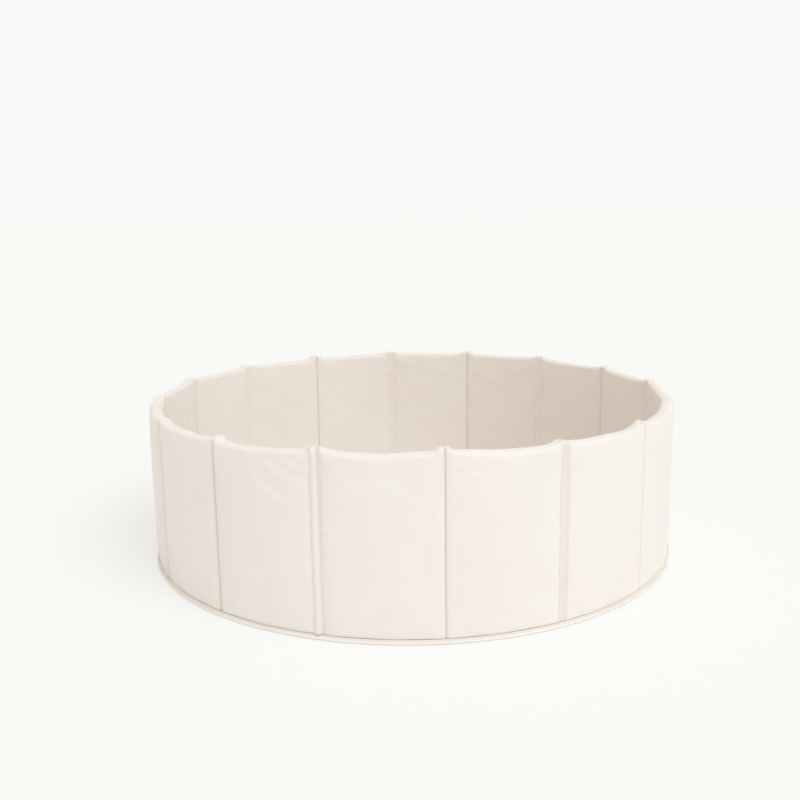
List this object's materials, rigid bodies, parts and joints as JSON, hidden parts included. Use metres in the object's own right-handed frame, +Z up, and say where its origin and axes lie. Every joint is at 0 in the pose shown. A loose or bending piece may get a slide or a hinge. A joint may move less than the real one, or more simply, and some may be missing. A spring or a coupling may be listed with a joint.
{
  "type": "folding ball pit",
  "caption": "Round padded ball pit of hinged wall panels in ivory leather cloth on a thin padded floor, folding like a concertina.",
  "frame": {"origin": "middle of the floor's underside, on the ground", "axes": "+Z up along the ring's axis; -Y points at seam 1, which is at the front, and seams are counted towards +X"},
  "size_m": [1.1112, 1.1112, 0.333],
  "materials": {
    "cover_leather": "satin",
    "web_leather": "satin",
    "floor_leather": "satin",
    "piping_leather": "satin",
    "foam": "matte"
  },
  "bodies": {
    "root": {"floor_base_sheet": "floor_leather", "floor_foam": "foam", "floor_top_sheet": "floor_leather", "floor_piping": "piping_leather", "cover_01": "cover_leather", "foam_core_01": "foam"},
    "panel_02": {"cover_02": "cover_leather", "foam_core_02": "foam", "hinge_web_01": "web_leather"},
    "panel_03": {"cover_03": "cover_leather", "foam_core_03": "foam", "hinge_web_02": "web_leather"},
    "panel_04": {"cover_04": "cover_leather", "foam_core_04": "foam", "hinge_web_03": "web_leather"},
    "panel_05": {"cover_05": "cover_leather", "foam_core_05": "foam", "hinge_web_04": "web_leather"},
    "panel_06": {"cover_06": "cover_leather", "foam_core_06": "foam", "hinge_web_05": "web_leather"},
    "panel_07": {"cover_07": "cover_leather", "foam_core_07": "foam", "hinge_web_06": "web_leather"},
    "panel_08": {"cover_08": "cover_leather", "foam_core_08": "foam", "hinge_web_07": "web_leather"},
    "panel_09": {"cover_09": "cover_leather", "foam_core_09": "foam", "hinge_web_08": "web_leather", "hinge_web_09": "web_leather"},
    "panel_16": {"cover_16": "cover_leather", "foam_core_16": "foam", "hinge_web_16": "web_leather"},
    "panel_15": {"cover_15": "cover_leather", "foam_core_15": "foam", "hinge_web_15": "web_leather"},
    "panel_14": {"cover_14": "cover_leather", "foam_core_14": "foam", "hinge_web_14": "web_leather"},
    "panel_13": {"cover_13": "cover_leather", "foam_core_13": "foam", "hinge_web_13": "web_leather"},
    "panel_12": {"cover_12": "cover_leather", "foam_core_12": "foam", "hinge_web_12": "web_leather"},
    "panel_11": {"cover_11": "cover_leather", "foam_core_11": "foam", "hinge_web_11": "web_leather"},
    "panel_10": {"cover_10": "cover_leather", "foam_core_10": "foam", "hinge_web_10": "web_leather"}
  },
  "joints": [
    {"name": "seam_01_hinge", "type": "hinge", "parent": "root", "child": "panel_02", "pos_m": [0, -0.52531, 0], "axis": [0, 0, 1], "range_deg": [0, 145], "deforming": ["hinge_web_01"]},
    {"name": "seam_02_hinge", "type": "hinge", "parent": "panel_02", "child": "panel_03", "pos_m": [0.21021, -0.50749, 0], "axis": [0, 0, -1], "range_deg": [0, 145], "deforming": ["hinge_web_02"]},
    {"name": "seam_03_hinge", "type": "hinge", "parent": "panel_03", "child": "panel_04", "pos_m": [0.37145, -0.37145, 0], "axis": [0, 0, 1], "range_deg": [0, 145], "deforming": ["hinge_web_03"]},
    {"name": "seam_04_hinge", "type": "hinge", "parent": "panel_04", "child": "panel_05", "pos_m": [0.50749, -0.21021, 0], "axis": [0, 0, -1], "range_deg": [0, 145], "deforming": ["hinge_web_04"]},
    {"name": "seam_05_hinge", "type": "hinge", "parent": "panel_05", "child": "panel_06", "pos_m": [0.52531, 0, 0], "axis": [0, 0, 1], "range_deg": [0, 145], "deforming": ["hinge_web_05"]},
    {"name": "seam_06_hinge", "type": "hinge", "parent": "panel_06", "child": "panel_07", "pos_m": [0.50749, 0.21021, 0], "axis": [0, 0, -1], "range_deg": [0, 145], "deforming": ["hinge_web_06"]},
    {"name": "seam_07_hinge", "type": "hinge", "parent": "panel_07", "child": "panel_08", "pos_m": [0.37145, 0.37145, 0], "axis": [0, 0, 1], "range_deg": [0, 145], "deforming": ["hinge_web_07"]},
    {"name": "seam_08_hinge", "type": "hinge", "parent": "panel_08", "child": "panel_09", "pos_m": [0.21021, 0.50749, 0], "axis": [0, 0, -1], "range_deg": [0, 145], "deforming": ["hinge_web_08", "hinge_web_09"]},
    {"name": "seam_16_hinge", "type": "hinge", "parent": "root", "child": "panel_16", "pos_m": [-0.21021, -0.50749, 0], "axis": [0, 0, 1], "range_deg": [0, 145], "deforming": ["hinge_web_16"]},
    {"name": "seam_15_hinge", "type": "hinge", "parent": "panel_16", "child": "panel_15", "pos_m": [-0.37145, -0.37145, 0], "axis": [0, 0, -1], "range_deg": [0, 145], "deforming": ["hinge_web_15"]},
    {"name": "seam_14_hinge", "type": "hinge", "parent": "panel_15", "child": "panel_14", "pos_m": [-0.50749, -0.21021, 0], "axis": [0, 0, 1], "range_deg": [0, 145], "deforming": ["hinge_web_14"]},
    {"name": "seam_13_hinge", "type": "hinge", "parent": "panel_14", "child": "panel_13", "pos_m": [-0.52531, 0, 0], "axis": [0, 0, -1], "range_deg": [0, 145], "deforming": ["hinge_web_13"]},
    {"name": "seam_12_hinge", "type": "hinge", "parent": "panel_13", "child": "panel_12", "pos_m": [-0.50749, 0.21021, 0], "axis": [0, 0, 1], "range_deg": [0, 145], "deforming": ["hinge_web_12"]},
    {"name": "seam_11_hinge", "type": "hinge", "parent": "panel_12", "child": "panel_11", "pos_m": [-0.37145, 0.37145, 0], "axis": [0, 0, -1], "range_deg": [0, 145], "deforming": ["hinge_web_11"]},
    {"name": "seam_10_hinge", "type": "hinge", "parent": "panel_11", "child": "panel_10", "pos_m": [-0.21021, 0.50749, 0], "axis": [0, 0, 1], "range_deg": [0, 145], "deforming": ["hinge_web_10"]}
  ],
  "couplings": [
    {"joint": "seam_02_hinge", "follows": "seam_01_hinge", "ratio": 1},
    {"joint": "seam_03_hinge", "follows": "seam_01_hinge", "ratio": 1},
    {"joint": "seam_04_hinge", "follows": "seam_01_hinge", "ratio": 1},
    {"joint": "seam_05_hinge", "follows": "seam_01_hinge", "ratio": 1},
    {"joint": "seam_06_hinge", "follows": "seam_01_hinge", "ratio": 1},
    {"joint": "seam_07_hinge", "follows": "seam_01_hinge", "ratio": 1},
    {"joint": "seam_08_hinge", "follows": "seam_01_hinge", "ratio": 1},
    {"joint": "seam_16_hinge", "follows": "seam_01_hinge", "ratio": 1},
    {"joint": "seam_15_hinge", "follows": "seam_01_hinge", "ratio": 1},
    {"joint": "seam_14_hinge", "follows": "seam_01_hinge", "ratio": 1},
    {"joint": "seam_13_hinge", "follows": "seam_01_hinge", "ratio": 1},
    {"joint": "seam_12_hinge", "follows": "seam_01_hinge", "ratio": 1},
    {"joint": "seam_11_hinge", "follows": "seam_01_hinge", "ratio": 1},
    {"joint": "seam_10_hinge", "follows": "seam_01_hinge", "ratio": 1}
  ]
}
